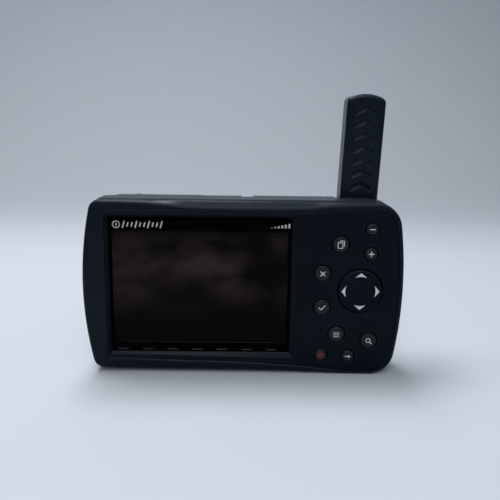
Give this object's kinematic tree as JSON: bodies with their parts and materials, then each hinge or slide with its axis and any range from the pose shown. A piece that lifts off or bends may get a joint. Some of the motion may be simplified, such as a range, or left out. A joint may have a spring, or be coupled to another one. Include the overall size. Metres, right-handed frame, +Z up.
{
  "type": "handheld gps navigator",
  "caption": "Landscape handheld satellite navigator with a colour screen, round keys, a thumb rocker, a rear battery pack and a blade antenna that folds up.",
  "frame": {"origin": "middle of the bottom of the overall box, on the surface the unit stands on", "axes": "+Z up with the antenna raised, +X towards the keys along the unit's length, -Y out of the screen"},
  "size_m": [0.1474, 0.051, 0.1295],
  "materials": {
    "casing_plastic": "fine satin, charcoal with a blue cast",
    "face_plastic": "fine satin, charcoal with a blue cast",
    "antenna_plastic": "fine satin",
    "key_plastic": "satin, charcoal grey",
    "lens_glass": "clear, smooth",
    "mask_print": "black print",
    "lcd_glass": "dark, unlit",
    "light_guide": "milky",
    "pressed_steel": "pressed sheet",
    "screw_steel": "machined",
    "ribbon_film": "amber film",
    "board_resin": "green solder mask",
    "chip_black": "moulded",
    "ivory_plastic": "moulded",
    "silicone": "matte",
    "black_rubber": "matte",
    "pack_plastic": "fine satin",
    "cell_can": "sleeved can",
    "gold_contact": "plated",
    "former_plastic": "moulded",
    "copper_strip": "foil"
  },
  "bodies": {
    "unit": {"front_casing": "casing_plastic", "face_panel": "face_plastic", "display_lens": "lens_glass", "lens_mask": "mask_print", "display_seal": "black_rubber", "lcd_panel": "lcd_glass", "backlight": "light_guide", "lcd_frame": "pressed_steel", "display_ribbon": "ribbon_film", "rocker_post": "pressed_steel", "keypad_web": "silicone", "key_board": "board_resin", "switch_domes": "pressed_steel", "casing_gasket": "black_rubber", "rear_casing": "casing_plastic", "casing_screws": "screw_steel", "main_board": "board_resin", "receiver_shield": "pressed_steel", "processor": "chip_black", "memory_chips": "chip_black", "backup_cell": "pressed_steel", "buzzer": "chip_black", "board_connector": "ivory_plastic", "usb_socket": "pressed_steel", "audio_jack": "chip_black", "aux_antenna_jack": "gold_contact", "power_socket": "chip_black", "power_pins": "gold_contact", "battery_contacts": "gold_contact", "latch_seat": "gold_contact", "antenna_socket": "gold_contact"},
    "antenna": {"antenna_front_shell": "antenna_plastic", "antenna_rear_shell": "antenna_plastic", "antenna_former": "former_plastic", "antenna_helix": "copper_strip", "antenna_board": "board_resin", "antenna_plug": "gold_contact"},
    "battery_pack": {"pack_base": "pack_plastic", "pack_cover": "pack_plastic", "battery_cells": "cell_can", "pack_board": "board_resin", "pack_contacts": "gold_contact"},
    "latch": {"latch_stud": "screw_steel"},
    "ring": {"latch_ring": "screw_steel"},
    "rocker_tilt": {"rocker_carrier": "ivory_plastic"},
    "rocker": {"rocker_pad": "key_plastic"},
    "cap_usb": {"usb_cap": "black_rubber"},
    "cap_audio": {"audio_cap": "black_rubber"},
    "cap_aux": {"aux_cap": "black_rubber"},
    "key_zoom_out": {"key_zoom_out": "key_plastic"},
    "key_zoom_in": {"key_zoom_in": "key_plastic"},
    "key_page": {"key_page": "key_plastic"},
    "key_quit": {"key_quit": "key_plastic"},
    "key_enter": {"key_enter": "key_plastic"},
    "key_menu": {"key_menu": "key_plastic"},
    "key_find": {"key_find": "key_plastic"},
    "key_power": {"key_power": "key_plastic"},
    "key_direct": {"key_direct": "key_plastic"}
  },
  "joints": [
    {"name": "press_zoom_out", "type": "slide", "parent": "unit", "child": "key_zoom_out", "axis": [0, 1, 0], "range_m": [0, 0.0007], "stiffness_N_per_m": 1500, "springref_m": -0.0003},
    {"name": "press_zoom_in", "type": "slide", "parent": "unit", "child": "key_zoom_in", "axis": [0, 1, 0], "range_m": [0, 0.0007], "stiffness_N_per_m": 1500, "springref_m": -0.0003},
    {"name": "press_page", "type": "slide", "parent": "unit", "child": "key_page", "axis": [0, 1, 0], "range_m": [0, 0.0007], "stiffness_N_per_m": 1500, "springref_m": -0.0003},
    {"name": "press_quit", "type": "slide", "parent": "unit", "child": "key_quit", "axis": [0, 1, 0], "range_m": [0, 0.0007], "stiffness_N_per_m": 1500, "springref_m": -0.0003},
    {"name": "press_enter", "type": "slide", "parent": "unit", "child": "key_enter", "axis": [0, 1, 0], "range_m": [0, 0.0007], "stiffness_N_per_m": 1500, "springref_m": -0.0003},
    {"name": "press_menu", "type": "slide", "parent": "unit", "child": "key_menu", "axis": [0, 1, 0], "range_m": [0, 0.0007], "stiffness_N_per_m": 1500, "springref_m": -0.0003},
    {"name": "press_find", "type": "slide", "parent": "unit", "child": "key_find", "axis": [0, 1, 0], "range_m": [0, 0.0007], "stiffness_N_per_m": 1500, "springref_m": -0.0003},
    {"name": "press_power", "type": "slide", "parent": "unit", "child": "key_power", "axis": [0, 1, 0], "range_m": [0, 0.0007], "stiffness_N_per_m": 1500, "springref_m": -0.0003},
    {"name": "press_direct", "type": "slide", "parent": "unit", "child": "key_direct", "axis": [0, 1, 0], "range_m": [0, 0.0007], "stiffness_N_per_m": 1500, "springref_m": -0.0003},
    {"name": "rocker_up_down", "type": "hinge", "parent": "unit", "child": "rocker_tilt", "pos_m": [0.0537, -0.0192, 0.041], "axis": [1, 0, 0], "range_deg": [-2.2, 2.2], "stiffness_Nm_per_rad": 0.15},
    {"name": "rocker_left_right", "type": "hinge", "parent": "rocker_tilt", "child": "rocker", "pos_m": [0.0537, -0.0209, 0.041], "axis": [0, 0, 1], "range_deg": [-2.2, 2.2], "stiffness_Nm_per_rad": 0.15},
    {"name": "antenna_swing", "type": "hinge", "parent": "unit", "child": "antenna", "pos_m": [0.0543, 0.0013, 0.073], "axis": [-0.9994, 0, 0.0349], "range_deg": [0, 180]},
    {"name": "pack_release", "type": "slide", "parent": "unit", "child": "battery_pack", "axis": [0, 1, 0], "range_m": [0, 0.03]},
    {"name": "latch_turn", "type": "hinge", "parent": "battery_pack", "child": "latch", "pos_m": [-0.006, 0.0225, 0.0212], "axis": [0, 1, 0], "range_deg": [0, 90]},
    {"name": "ring_flip", "type": "hinge", "parent": "latch", "child": "ring", "pos_m": [-0.006, 0.0245, 0.0234], "axis": [1, 0, 0], "range_deg": [0, 100]},
    {"name": "cap_usb_open", "type": "hinge", "parent": "unit", "child": "cap_usb", "pos_m": [-0.0655, 0.0018, 0.055], "axis": [0, -1, 0], "range_deg": [0, 100]},
    {"name": "cap_audio_open", "type": "hinge", "parent": "unit", "child": "cap_audio", "pos_m": [-0.0655, 0.0018, 0.0405], "axis": [0, -1, 0], "range_deg": [0, 100]},
    {"name": "cap_aux_open", "type": "hinge", "parent": "unit", "child": "cap_aux", "pos_m": [-0.0655, 0.0018, 0.026], "axis": [0, -1, 0], "range_deg": [0, 100]}
  ]
}
